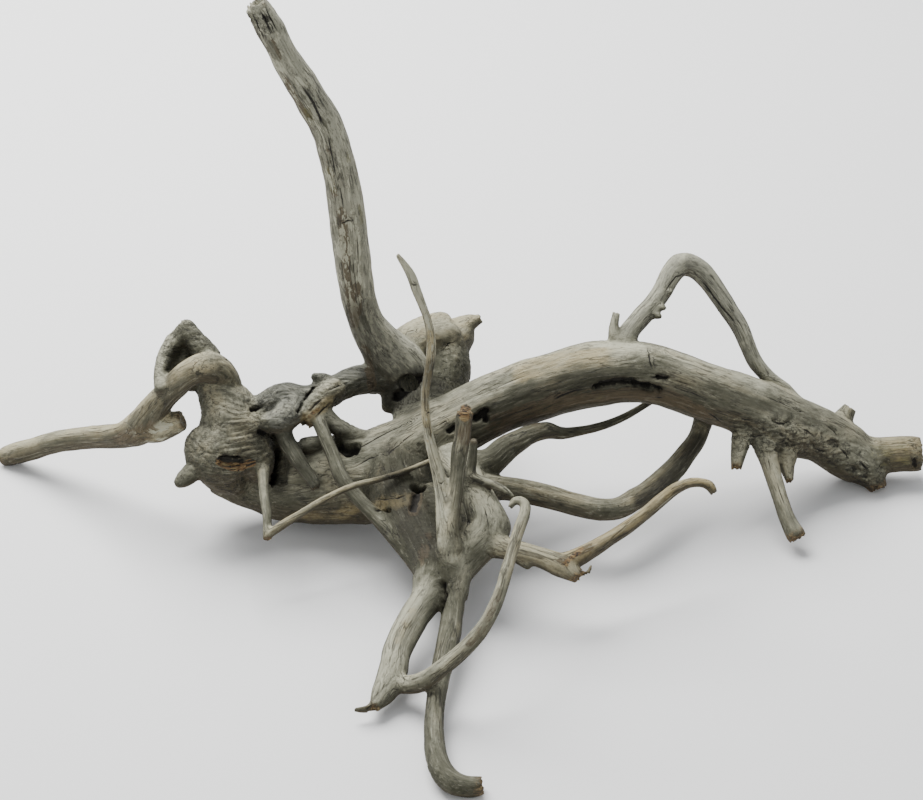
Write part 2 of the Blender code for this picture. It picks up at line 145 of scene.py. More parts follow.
# Long roots under the crown: the left foot, the long root to the front foot and the hooked root
LEFT_FOOT = [
    (432, 580, 226, 19.5), (427.5, 597, 214, 16), (415.5, 615, 200, 14.5), (404.5, 634, 184, 14.4),
    (397, 652, 168, 13.5), (394, 668, 153, 14), (389, 683, 141, 13.5), (381, 697, 131, 10.5),
    (375, 706, 123, 6.5),
]
LEFT_FOOT_SPLINTER = [(381, 701, 128, 7), (368, 709, 121, 4.4), (355, 710, 119, 2.8)]
LONG_ROOT = [
    (455, 575, 228, 14), (453.5, 592, 216, 12.5), (452, 615, 200, 11.4), (448.5, 640, 178, 11.2),
    (442.5, 665, 156, 10.6), (437.5, 690, 131, 9.8), (434.5, 715, 104, 9.8), (434.5, 740, 78, 10.2),
    (437, 757, 60, 11), (442.5, 771, 47, 12), (453.5, 782.5, 39.5, 12.6), (467, 786.5, 37.5, 12),
    (479, 785.5, 37.5, 10.8),
]
HOOKED_ROOT = [
    (399, 684, 140, 9), (413, 684, 134, 9.6), (427, 679, 121, 9.4), (440, 669.5, 112, 8.6),
    (454, 658.5, 108, 8.4), (469.5, 644.5, 103, 8), (480.5, 631.5, 100, 8), (489.5, 617.5, 99, 7.6),
    (496.5, 602, 103, 7.2), (502, 587, 107, 6.8), (506.5, 571, 112, 6.8), (511, 556, 120, 6.4),
    (515.5, 540, 126, 6.5), (520.5, 525, 132, 6.3), (525, 512, 137, 6), (525, 504, 141, 5.4),
    (519, 500, 143, 4.6), (513, 502, 144, 4), (511, 507, 144, 3.2),
]

# Upright twigs and short branches on the crown
TALL_TWIG = [
    (397.5, 255, 189, 2.8), (404, 264, 194, 3.8), (411, 275, 199, 5), (416.5, 290, 205, 5.3),
    (422, 304, 209, 4.7), (427, 318, 213, 4.3), (431, 338, 217, 4.9), (431, 355, 220, 5.3),
    (428, 375, 222, 5.1), (425, 395, 224, 4.7), (426, 416, 226, 4.9), (429, 437, 229, 5.4),
    (435, 460, 229, 6.3), (440, 480, 227, 7), (443, 500, 225, 7.4), (445, 524, 222, 9),
    (448, 544, 222, 11), (452, 562, 226, 13),
]
CUT_TWIG = [
    (465, 414, 230, 9), (463, 434, 230, 8.4), (460, 452, 228, 8.8), (458, 470, 226, 7.8),
    (456, 490, 223, 7.6), (453, 510, 220, 7.6), (451, 528, 218, 9), (452, 548, 222, 13),
]
FORK_ARM = [(474, 440, 252, 4.2), (473, 456, 254, 5), (470, 478, 257, 6.5), (472, 500, 256, 9)]
FORK_TWIG = [
    (468, 476, 256, 6), (482, 481, 250, 5.2), (496, 486, 243, 4.7), (506, 491, 238, 3.8),
    (513, 497, 235, 2.6),
]
FRONT_BRANCH = [
    (482, 536, 240, 17), (500, 546, 230, 12.5), (520, 551, 224, 11), (542, 557.5, 219, 10.5),
    (562, 566, 215, 11.5), (577, 575.5, 211, 7.5),
]
TAN_BRANCH = [
    (560, 561, 218, 8), (574, 558.5, 218, 9.7), (590, 550.5, 219, 9), (609, 539, 223, 7.6),
    (629, 526, 229, 7.2), (648, 511.2, 234, 7), (662, 499, 237, 6.6), (676, 488.5, 239, 6),
    (690, 482.8, 240, 5.2), (702, 482.8, 240, 4.8), (710, 486, 240, 5.2), (713, 492, 240, 4.4),
]
BRANCH_NUB = [(512, 552, 226, 7.5), (522, 561, 222, 5.8), (529, 567, 220, 4.2)]
BRANCH_SPLINTER = [(572, 573, 213, 5), (583, 576, 211, 3.4), (589, 571.5, 210, 2.6), (591, 565, 211, 2)]

# Branches behind the crown and under the arch
DARK_BRANCH = [
    (468, 468, 305, 20), (488, 463, 305, 15.5), (508, 447, 312, 13.5), (528, 435.5, 322, 10.4),
    (546, 430.5, 332, 9.2), (562, 433.2, 342, 6.6), (580, 431, 352, 5.2), (600, 426.5, 362, 4.6),
    (620, 419, 374, 4.2), (645, 405, 388, 3.8), (662, 394, 385, 3.6), (676, 385, 372, 4),
]
UNDER_BRANCH = [
    (480, 489, 285, 16), (505, 488, 298, 12.4), (522, 491, 304, 12), (546, 496, 304, 12),
    (572, 503.5, 302, 11.5), (600, 509.5, 300, 11.4), (617, 508.5, 306, 11.4), (636, 499.5, 320, 12),
    (655, 487.5, 338, 12.2), (671.5, 472.5, 356, 11.6), (685.5, 455.5, 372, 10.6),
    (697.5, 438, 384, 9.6), (703.5, 420, 386, 9.4), (706, 402, 376, 13),
]

# The arched branch over the right half of the trunk
ARCH = [
    (614, 357, 352, 13), (622.5, 341, 358, 10.8), (637.5, 321, 364, 9.8), (651, 306.5, 369, 9.6),
    (662, 291.5, 374, 9.8), (670.5, 275, 379, 10.4), (683, 263.5, 385, 11.4), (696.5, 268.3, 389, 10.8),
    (708, 280, 391, 10), (719, 295, 393, 9.4), (729.5, 311, 394, 8.9), (740, 327.3, 395, 8.4),
    (748, 345.5, 396, 8), (756.5, 363.5, 398, 7.6), (768, 376, 401, 6.8), (784, 389, 404, 6.2),
    (800, 404, 408, 7),
]
ARCH_NUB = [(618, 350, 352, 8), (613.5, 333, 352, 5.6), (616, 314, 352, 4.2)]
ARCH_THORNS = [
    [(655, 304, 367, 6), (665, 308.5, 362, 3)],
    [(651, 313, 367, 6), (661, 317, 361, 2.8)],
    [(664, 290, 372, 6), (671.5, 292.5, 365, 2.8)],
]

# Thin roots and props under the bridge
PROP = [
    (316, 410, 336, 8), (321, 426, 320, 7.4), (333, 455, 304, 7), (342, 478, 292, 7.8),
    (357, 497, 286, 7.4), (373, 513.5, 276, 7.6), (392, 533, 264, 8.6), (409, 552, 252, 9.6),
    (428, 570, 240, 13),
]
BROKEN_PEG = [
    (280, 424, 328, 9), (288, 444, 320, 8.6), (300, 463, 312, 7.4), (309, 476, 308, 6),
    (315, 486, 305, 5.4),
]
HANGING_ROOT = [
    (262, 458, 326, 10), (263, 473, 309, 6.4), (264, 495, 283, 5.4), (267, 516, 266, 5),
    (267, 538, 254, 4.6),
]
THIN_ROOT = [
    (266, 537, 253, 3.8), (278, 528, 254, 4.6), (300, 514, 257, 4.1), (325, 499, 262, 3.9),
    (350, 487, 268, 3.7), (380, 479, 276, 3.5), (408, 470, 284, 3.3), (430, 461, 292, 3.1),
    (446, 455, 308, 3.2),
]

# Broken stubs under the right burl
HANGING_STUBS = [
    [(745, 430, 378, 13), (740, 447, 366, 9), (737.5, 460, 360, 7.2), (736.5, 466.5, 357, 6)],
    [(787, 450, 392, 13), (787, 466, 378, 8.4), (789.5, 480, 370, 4.6)],
    [
        (763, 440, 382, 14), (768, 456, 372, 10.6), (774, 478, 358, 8.7), (780.3, 498, 348, 8.3),
        (786, 515, 342, 8.2), (792, 528, 339, 9.2), (796, 535, 337, 10.4),
    ],
]

# How pale, how brown and how wrinkled the wood of each limb is
LIMBS = [
    (TRUNK, 0.1, 0.3, 0.35), (RIGHT_END, -0.05, 0.7, 0.2), (RIGHT_THORN, -0.1, 0.2, 0.3),
    (TRUNK_KNOB, -0.5, 0.4, 0.2), (TALL_LIMB, 1.2, -0.15, 0.25), (TIP_SPLINTER, -0.2, 0.2, 0.6),
    (BACK_BURL, 0.2, 0.55, 0.5), (BACK_BURL_ROOT, -0.25, 0.1, 0.7), (BURL_SPUR, -0.3, 0.2, 0.5),
    (BRIDGE, -0.25, -0.35, 1.0), (BRIDGE_LIP, -0.2, -0.3, 1.0), (SPLINTERED_BLOCK, 0.1, 0.3, 0.8),
    (PALE_LOBE, 0.25, -0.4, 0.7), (BRIDGE_BACK, -0.2, 0.0, 1.0), (ROOT_LOOP, -0.05, -0.1, 0.7),
    (LOOP_KNOB, -0.1, -0.1, 0.6), (HEAD, 0.25, 0.35, 0.85), (HEAD_BROW, 0.0, 0.3, 0.9),
    (HEAD_CREST, -0.3, 0.0, 0.9), (HOOD_EDGE, 0.25, 0.05, 0.9), (HOOD_BACK, -0.3, 0.2, 0.8),
    (HOOD_SIDE, -0.3, 0.2, 0.8), (HEAD_CHEEK, 0.0, 0.4, 0.85), (HEAD_STUB, 0.0, 0.1, 0.6),
    (ARM, 0.3, 0.55, 0.15), (ELBOW_STUB, 1.2, 0.7, 0.2),
    (CROWN, -0.9, 0.3, 0.5), (CROWN_LOBE, 0.25, 0.2, 0.3), (CROWN_WEB, -0.8, 0.3, 0.4),
    (LEFT_FOOT, 0.4, 0.1, 0.15), (LEFT_FOOT_SPLINTER, -0.3, 0.6, 0.3), (LONG_ROOT, -0.3, 0.2, 0.2),
    (HOOKED_ROOT, 0.42, 0.35, 0.1), (TALL_TWIG, 1.3, 0.35, 0.1), (CUT_TWIG, -0.05, 0.35, 0.2),
    (FORK_ARM, -0.05, 0.2, 0.1), (FORK_TWIG, 0.0, 0.2, 0.1), (FRONT_BRANCH, 0.4, 0.5, 0.2),
    (TAN_BRANCH, 0.2, 1.0, 0.1), (BRANCH_NUB, 0.1, 0.3, 0.2), (BRANCH_SPLINTER, -0.2, 0.8, 0.2),
    (DARK_BRANCH, -0.5, 0.3, 0.2), (UNDER_BRANCH, -0.05, 0.5, 0.2), (ARCH, 0.7, -0.2, 0.2),
    (ARCH_NUB, 0.55, 0.0, 0.2), *((thorn, 0.1, 0.1, 0.2) for thorn in ARCH_THORNS),
    (PROP, -0.2, 0.1, 0.15), (BROKEN_PEG, -0.5, -0.15, 0.2), (HANGING_ROOT, -0.05, 0.2, 0.1),
    (THIN_ROOT, 0.25, 0.6, 0.1), *((stub, 0.2, 0.35, 0.3) for stub in HANGING_STUBS),
]

# Hollows that rot left: under the tall limb, under the hood, beneath the bridge and in the head
HOLLOWS = [
    [(404, 382, 360, 8), (414, 384, 378, 13), (420, 376, 392, 9)],
    [(179, 350, 322, 6), (179, 362, 318, 9), (178, 372, 312, 6)],
    [(337, 450, 318, 5), (349, 451, 316, 8), (357, 450, 318, 4)],
    [(276, 446, 324, 5), (280, 463, 330, 8), (283, 484, 326, 5)],
    [(252, 409, 304, 2.5), (258, 408, 304, 4), (263, 407, 306, 2.5)],
]

# How a limb is swept, and how finely the skin over all of them is drawn
SIDES = 28
RING_STEP = 3.0
CAP_RINGS = 4
CAP_BULGE = 0.5
LUMP_SIZE = 38.0
LUMP_HEIGHT = 0.05
FLUTE_LENGTH = 110.0
FLUTE_HEIGHT = 0.05
FLUTE_COUNT = 1.5
SEED_STEP = 10.0
SKIN_STEP = 1.6
SOFTENING = 0.5
SOFTENING_ROUNDS = 8
KEPT_TRIANGLES = 190000


def growth(back):
    """How much larger a thing at this depth is than it is drawn."""
    return 1 + (back - DRAWING_BACK) / VIEW_DISTANCE


def raised(across, down, back):
    """Turn a drawn point into millimetres across, back along the ground and up."""
    aside = (across - DRAWING_CENTRE_ACROSS) * growth(back)
    rise = DRAWING_CENTRE_DOWN + (DRAWING_CENTRE_DOWN - down) * growth(back)
    return Vector((aside, 0, 0)) + rise * UPWARD + back * BACKWARD


FOOT = raised(*FRONT_FOOT)
STANDING_PLACE = Vector((FOOT.x, FOOT.y, SET_DOWN))


def place(across, down, back):
    """Turn a drawn point into its place on the standing piece, in metres."""
    return (raised(across, down, back) - STANDING_PLACE) * MILLIMETRE


def drawn(points):
    """Turn places on the standing piece back into drawn points: across, down and back."""
    shifted = points / MILLIMETRE + np.array(STANDING_PLACE)
    back = shifted @ np.array(BACKWARD)
    across = DRAWING_CENTRE_ACROSS + shifted[:, 0] / growth(back)
    rise = shifted @ np.array(UPWARD)
    return np.stack([across, DRAWING_CENTRE_DOWN - (rise - DRAWING_CENTRE_DOWN) / growth(back), back], 1)


def smooth_route(route):
    """Carry a smooth curve through a route's points and return the place, radius and distance along
    it of each ring."""
    knots = np.array([
        (*place(across, down, back), radius * growth(back) * MILLIMETRE)
        for across, down, back, radius in route
    ])
    gaps = np.linalg.norm(np.diff(knots[:, :3], axis=0), axis=1)
    along = np.concatenate([[0], np.cumsum(gaps)])
    slopes = np.gradient(knots, along, axis=0)
    count = max(3, round(along[-1] / (RING_STEP * MILLIMETRE)))
    stations = np.linspace(0, along[-1], count + 1)
    cell = np.clip(np.searchsorted(along, stations, side="right") - 1, 0, len(gaps) - 1)
    t = ((stations - along[cell]) / gaps[cell])[:, None]
    gap = gaps[cell][:, None]
    curve = (
        (1 + 2 * t) * (1 - t) ** 2 * knots[cell]
        + t * (1 - t) ** 2 * gap * slopes[cell]
        + t ** 2 * (3 - 2 * t) * knots[cell + 1]
        + t ** 2 * (t - 1) * gap * slopes[cell + 1]
    )
    return [(Vector(row[:3]), float(row[3]), station) for row, station in zip(curve, stations)]


def with_rounded_ends(rings):
    """Add a low dome of shrinking rings before the first ring and after the last one."""
    domes = []
    for end, inner in ((0, 1), (-1, -2)):
        middle, radius, station = rings[end]
        outward = (middle - rings[inner][0]).normalized()
        dome = []
        for ring in range(1, CAP_RINGS + 1):
            angle = 0.5 * math.pi * ring / (CAP_RINGS + 0.5)
            tip = middle + outward * CAP_BULGE * radius * math.sin(angle)
            dome.append((tip, radius * math.cos(angle), station))
        domes.append(dome)
    return domes[0][::-1] + rings + domes[1]


def sweep(mesh, route, seed):
    """Sweep one limb along its route, with long flutes and soft lumps, as a closed skin."""
    rings = with_rounded_ends(smooth_route(route))
    side = (rings[1][0] - rings[0][0]).orthogonal()
    loops = []
    for index, (middle, radius, station) in enumerate(rings):
        before = rings[max(index - 1, 0)][0]
        after = rings[min(index + 1, len(rings) - 1)][0]
        ahead = (after - before).normalized()
        side = (side - side.dot(ahead) * ahead).normalized()
        other = ahead.cross(side)
        loop = []
        for step in range(SIDES):
            angle = 2 * math.pi * step / SIDES
            outward = math.cos(angle) * side + math.sin(angle) * other
            lump = noise.noise((middle + radius * outward) / (LUMP_SIZE * MILLIMETRE))
            turned = FLUTE_COUNT * Vector((math.cos(angle), math.sin(angle), 0))
            turned.z = seed + station / (FLUTE_LENGTH * MILLIMETRE)
            swell = 1 + LUMP_HEIGHT * lump + FLUTE_HEIGHT * noise.noise(turned)
            loop.append(mesh.verts.new(middle + radius * swell * outward))
        loops.append(loop)
    for first, second in zip(loops, loops[1:]):
        for step in range(SIDES):
            following = (step + 1) % SIDES
            mesh.faces.new((first[step], first[following], second[following], second[step]))
    mesh.faces.new(loops[0][::-1])
    mesh.faces.new(loops[-1])


def swept_object(name, routes):
    """Make one object whose mesh holds a swept skin for each route."""
    skins = bmesh.new()
    for index, route in enumerate(routes):
        sweep(skins, route, SEED_STEP * index)
    bmesh.ops.recalc_face_normals(skins, faces=skins.faces)
    data = bpy.data.meshes.new(name)
    skins.to_mesh(data)
    skins.free()
    made = bpy.data.objects.new(name, data)
    bpy.context.scene.collection.objects.link(made)
    return made


def grow_together(body, name):
    """Turn overlapping skins into one even skin."""
    skin = body.modifiers.new(name, "REMESH")
    skin.mode = "VOXEL"
    skin.voxel_size = SKIN_STEP * MILLIMETRE
    skin.use_smooth_shade = True


def settle(body):
    """Turn what an object's modifiers make into its own mesh."""
    bpy.context.view_layer.update()
    made = body.evaluated_get(bpy.context.evaluated_depsgraph_get())
    settled = bpy.data.meshes.new_from_object(made)
    body.modifiers.clear()
    old = body.data
    body.data = settled
    bpy.data.meshes.remove(old)


def points_of(mesh):
    """The places of a mesh's points, and the outward direction at each."""
    points = np.empty(3 * len(mesh.vertices))
    mesh.vertices.foreach_get("co", points)
    outward = np.empty(3 * len(mesh.vertices))
    mesh.vertex_normals.foreach_get("vector", outward)
    return points.reshape(-1, 3), outward.reshape(-1, 3)


driftwood = swept_object("weathered_driftwood", [route for route, *_ in LIMBS])
bpy.context.view_layer.update()
# Marks are found on the limbs' own skins, as they are before the hollows are cut
skin = BVHTree.FromObject(driftwood, bpy.context.evaluated_depsgraph_get())
rotted = swept_object("rotted_hollows", HOLLOWS)
grow_together(driftwood, "limbs_grown_together")
rotted_out = driftwood.modifiers.new("rotted_out", "BOOLEAN")
rotted_out.operation = "DIFFERENCE"
rotted_out.object = rotted
grow_together(driftwood, "rims_evened_out")
softened = driftwood.modifiers.new("joints_softened", "SMOOTH")
softened.factor = SOFTENING
softened.iterations = SOFTENING_ROUNDS
settle(driftwood)
bpy.data.objects.remove(rotted)

# The heart line of every limb: the wood's fibres run along it, and each point of the skin takes its
# paleness, brownness and wrinkles from the limbs nearest to it
HEART_REACH = 2.5
CELL_SIDE = 40.0
CELL_MARGIN = 75.0
HEART = slice(0, 3)
RADIUS, PALENESS, BROWNNESS, WRINKLES = 3, 4, 5, 6
HEARTS = np.array([
    (*middle, radius, *looks)
    for route, *looks in LIMBS
    for middle, radius, _ in smooth_route(route)
])


def lie_of_wood(points):
    """For each point, blend the nearest limbs: heart place, radius, paleness, brownness, wrinkles."""
    blended = np.empty((len(points), HEARTS.shape[1]))
    side = CELL_SIDE * MILLIMETRE
    cells, member = np.unique(np.floor(points / side).astype(int), axis=0, return_inverse=True)
    order = np.argsort(member.ravel(), kind="stable")
    edges = np.searchsorted(member.ravel()[order], np.arange(len(cells) + 1))
    for cell, first, last in zip(cells, edges, edges[1:]):
        away = np.abs(HEARTS[:, HEART] - (cell + 0.5) * side).max(1)
        near = HEARTS[away < 0.5 * side + CELL_MARGIN * MILLIMETRE]
        some = points[order[first:last]]
        above = np.linalg.norm(some[:, None] - near[:, HEART], axis=2) - near[:, RADIUS]
        above -= above.min(1, keepdims=True)
        weight = np.exp(-above / (HEART_REACH * MILLIMETRE))
        blended[order[first:last]] = weight @ near / weight.sum(1, keepdims=True)
    return blended


def noise_at(points, size):
    """Smooth noise at each point, whose lumps are about this many millimetres wide."""
    return np.array([noise.noise(point) for point in (points / (size * MILLIMETRE)).tolist()])


def ramp(values, low, high):
    """Rise smoothly from 0 at low to 1 at high."""
    t = np.clip((values - low) / (high - low), 0, 1)
    return t * t * (3 - 2 * t)


# How deep weather has cut the wood, in millimetres. Straight limbs have furrows along their fibres.
# The burls have swirling folds, creases and pits, and the gnarled ones have scars as well.
FIBRE_STRETCH = 0.07
FURROW_WIDTH = 6.0
FURROW_DEPTH = 0.8
RIB_WIDTH = 2.8
RIB_HEIGHT = 0.25
LUMP_WIDTH = 17.0
LUMP_RISE = 0.8
SWIRL_WIDTH = 44.0
SWIRL_REACH = 13.0
FOLD_LENGTH = 4.4
FOLD_WIDTH = 10.0
FOLD_DEPTH = 0.9
CREASE_WIDTH = 4.0
CREASE_DEPTH = 0.9
PIT_WIDTH = 11.0
PIT_DEPTH = 2.8
SCAR_WIDTH = 9.0
SCAR_DEPTH = 1.5
SWELL_WIDTH = 19.0
SWELL_RISE = 2.2

# A twig of this radius keeps this share of its ribs and no other relief, a limb of that one has it all,
# and folds without scars have this share of the pits
THIN_TWIG = 3.0
THICK_LIMB = 14.0
THIN_RIBS = 0.4
WRINKLED_PITS = 0.15


def along_fibres(points, lie):
    """Coordinates that change slowly along the limb and fully across it."""
    return points - (1 - FIBRE_STRETCH) * lie[:, HEART]


def along_folds(points):
    """Coordinates whose level lines are the swirling folds of the burls."""
    swirl = np.stack([noise_at(points + shift, SWIRL_WIDTH) for shift in (0.2, 0.5, 0.8)], 1)
    flat = drawn(points) * MILLIMETRE / np.array([FOLD_LENGTH, 1, 2])
    return flat + SWIRL_REACH * MILLIMETRE * swirl


def wrinkled_at(lie, gnarled):
    """How wrinkled the wood is at each point, from 0 to 1."""
    return np.maximum(ramp(lie[:, WRINKLES], 0.25, 0.95), gnarled)


def relief(points, lie, gnarled):
    """How far weather has left each point above or below its limb's smooth skin, in millimetres."""
    fibre = along_fibres(points, lie)
    fold = along_folds(points)
    wrinkled = wrinkled_at(lie, gnarled)
    thick = ramp(lie[:, RADIUS], THIN_TWIG * MILLIMETRE, THICK_LIMB * MILLIMETRE)
    furrows = 1 - ramp(np.abs(noise_at(fibre, FURROW_WIDTH)), 0.0, 0.14)
    furrows *= ramp(noise_at(fibre + 0.7, 2 * FURROW_WIDTH), -0.1, 0.35)
    ribs = noise_at(fibre + 0.3, RIB_WIDTH)
    swells = noise_at(fibre + 0.5, SWELL_WIDTH)
    lumps = noise_at(points, LUMP_WIDTH)
    folds = ramp(np.abs(noise_at(fold, FOLD_WIDTH)), 0.0, 0.24) - 0.75
    creases = ramp(np.abs(noise_at(fold + 0.4, CREASE_WIDTH)), 0.0, 0.2) - 0.8
    scars = ramp(np.abs(noise_at(points + 0.6, SCAR_WIDTH)), 0.0, 0.16) - 0.8
    pits = ramp(noise_at(points + 0.9, PIT_WIDTH), 0.3, 0.45)
    smooth = LUMP_RISE * lumps + SWELL_RISE * swells - FURROW_DEPTH * furrows * (1 - wrinkled)
    rough = FOLD_DEPTH * folds + CREASE_DEPTH * creases + SCAR_DEPTH * scars * gnarled
    pitted = PIT_DEPTH * pits * (WRINKLED_PITS * wrinkled + gnarled)
    ribbed = RIB_HEIGHT * ribs * (THIN_RIBS + (1 - THIN_RIBS) * thick)
    return thick * (smooth + wrinkled * rough - pitted) + ribbed


# Marks are drawn on the piece as it is seen from the front, by points across and down. Cracks give
# their width and depth in millimetres.
CRACKS = [
    # down the splintered tip and the tall limb
    (1.8, 1.6, [(251, 12), (256, 22), (261, 34), (266, 44)]),
    (2.4, 2.2, [(258, 5), (263, 15), (268, 26), (273, 36)]),
    (1.6, 1.4, [(265, 4), (269, 14), (274, 24), (279, 33)]),
    (1.4, 1.0, [(255, 27), (260, 38), (265, 50), (271, 60)]),
    (1.2, 0.6, [(303, 66), (308, 72), (313, 80)]),
    (2.6, 1.6, [(302, 86), (309, 96), (314, 104), (320, 118), (324, 128)]),
    (1.4, 0.8, [(327, 132), (330, 145), (332, 156), (334, 166), (336, 178)]),
    (1.4, 0.8, [(339, 184), (342, 198), (344, 212)]),
    (2.2, 1.4, [(340, 224), (346, 221), (356, 219.5)]),
    (1.4, 0.8, [(357, 230), (358, 250), (360, 268)]),
    (1.0, 0.5, [(350, 160), (352, 176), (355, 190)]),
    # along the trunk
    (1.4, 0.8, [(342, 459), (358, 448), (375, 439), (392, 430), (410, 421), (428, 413), (445, 407)]),
    (1.2, 0.6, [(350, 470), (370, 458), (389, 452), (404, 440), (421, 427)]),
    (1.4, 0.8, [(434, 428), (446, 421), (459, 416), (470, 412)]),
    (1.0, 0.5, [(470, 398), (490, 390), (510, 381), (530, 374)]),
    (1.0, 0.5, [(500, 420), (520, 412), (541, 405)]),
    (2.0, 1.2, [(372, 499), (385, 500), (398, 498), (406, 495)]),
    (2.2, 1.2, [(553, 401), (562, 396), (574, 391), (590, 388)]),
    (2.2, 1.6, [(649, 378), (658, 377), (668, 378)]),
    (1.8, 1.2, [(655, 398), (659, 398.5), (664, 398)]),
    (1.2, 0.6, [(668, 385), (690, 392), (712, 402)]),
    (1.6, 0.9, [(705, 411), (714, 417), (724, 425)]),
    (1.2, 0.7, [(700, 417), (708, 424), (716, 431)]),
    (1.8, 1.2, [(648, 346), (649, 355), (650, 363), (653, 371)]),
    # the scars and pits of the right burl
    (2.2, 1.8, [(739, 418), (746, 421), (753, 420)]),
    (2.2, 1.8, [(771, 420), (779, 424), (786, 424), (792, 421)]),
    (1.8, 1.4, [(800, 428), (808, 431), (815, 437)]),
    (2.0, 1.6, [(826, 424), (834, 430), (839, 438)]),
    (2.2, 1.8, [(812, 447), (820, 451), (829, 452)]),
    (1.8, 1.4, [(838, 446), (845, 453), (850, 462)]),
    (2.2, 1.8, [(857, 458), (864, 466), (871, 472)]),
    (1.8, 1.4, [(776, 444), (786, 441), (796, 444)]),
    (1.8, 1.4, [(748, 434), (757, 437), (766, 434)]),
    (1.6, 1.2, [(790, 406), (798, 411), (806, 412)]),
    (1.0, 0.5, [(760, 395), (780, 402), (800, 412)]),
    # on the arched branch
    (1.4, 0.9, [(664, 294), (670, 284), (676, 276.5), (688, 273.5)]),
    (1.8, 1.3, [(700, 279), (707, 288), (714, 298), (722, 308), (730, 317), (737, 326)]),
    # in the head, the bridge and the burl behind the limb
    (2.6, 2.4, [(219, 352), (225, 357), (231, 364)]),
    (1.6, 1.0, [(185, 461), (195, 458), (207, 456)]), (2.0, 1.5, [(284, 396), (290, 394)]),
    (2.0, 1.6, [(307, 414), (315, 405), (326, 396)]),
    (1.8, 1.4, [(312, 419), (322, 410), (333, 402), (343, 393)]),
    (1.8, 1.4, [(325, 392), (338, 386), (352, 381)]), (1.8, 1.2, [(328, 404), (333, 402)]),
    (1.4, 0.8, [(404, 333), (416, 329), (430, 327)]),
    (1.4, 0.8, [(440, 352), (448, 344), (459, 340)]),
    # on the crown and its roots
    (1.2, 0.8, [(402.5, 670), (404, 678), (405, 685)]),
    (1.2, 0.6, [(484, 505), (487, 518), (489, 530)]),
    (1.0, 0.5, [(473, 506), (468, 520), (466, 534)]),
    # the dark node and the short splits of the twigs
    (2.0, 0.8, [(411, 283), (414, 285.5), (417.5, 284)]),
    (1.6, 0.8, [(438, 482), (441, 484), (444, 481)]),
    (1.0, 0.4, [(424, 384), (425, 400), (425, 416)]),
    (1.0, 0.4, [(776, 480), (781, 495), (786, 508)]),
]

# Holes give their depth and half their width in millimetres
HOLES = [
    # the long slit and the smaller holes along the trunk
    (10, 3.0, [(595, 388), (606, 385.5), (620, 384), (634, 384.5), (648, 386), (660, 390)]),
    (15, 5.0, [(634, 385), (642, 387), (650, 389.5)]),
    (5, 2.4, [(600, 384), (616, 380.5), (634, 380)]), (5, 2.0, [(658, 377), (667, 378.5)]),
    (4, 2.6, [(914, 461), (915, 467)]), (12, 4.4, [(475, 419), (481, 415), (486, 411)]),
    (10, 3.6, [(484, 413), (486, 421)]), (8, 3.2, [(450, 431), (455, 427)]),
    # beside and under the head
    (24, 5.2, [(279, 449), (279, 460), (277, 472), (273, 485)]),
    (7, 3.0, [(260, 432), (268, 436), (275, 438)]), (6, 3.2, [(253, 409), (261, 407.5)]),
    (5, 5.2, [(223, 461), (235, 464), (247, 462)]),
    (7, 1.8, [(221, 458), (236, 457.5), (250, 459)]),
    (6, 1.8, [(299, 411), (304, 402), (310, 394), (316, 387)]),
    # under the root loop, under the tall limb and in the crown
    (13, 5.4, [(336, 443), (346, 447), (356, 446)]),
    (14, 6.0, [(398, 397), (405, 390), (413, 383), (422, 377)]),
    (15, 5.2, [(415, 488), (422, 487.5)]), (4, 4.4, [(417, 495), (413, 509)]),
    (9, 2.3, [(442.5, 583), (444, 594), (443.5, 604), (441, 613)]),
    (4, 1.8, [(377, 510), (384, 512), (391, 510.5)]),
]
HOLE_RAGGED = 1.6
HOLE_LUMP = 4.5
HOLE_FLOOR = 2.0
HOLE_RIM = 0.6

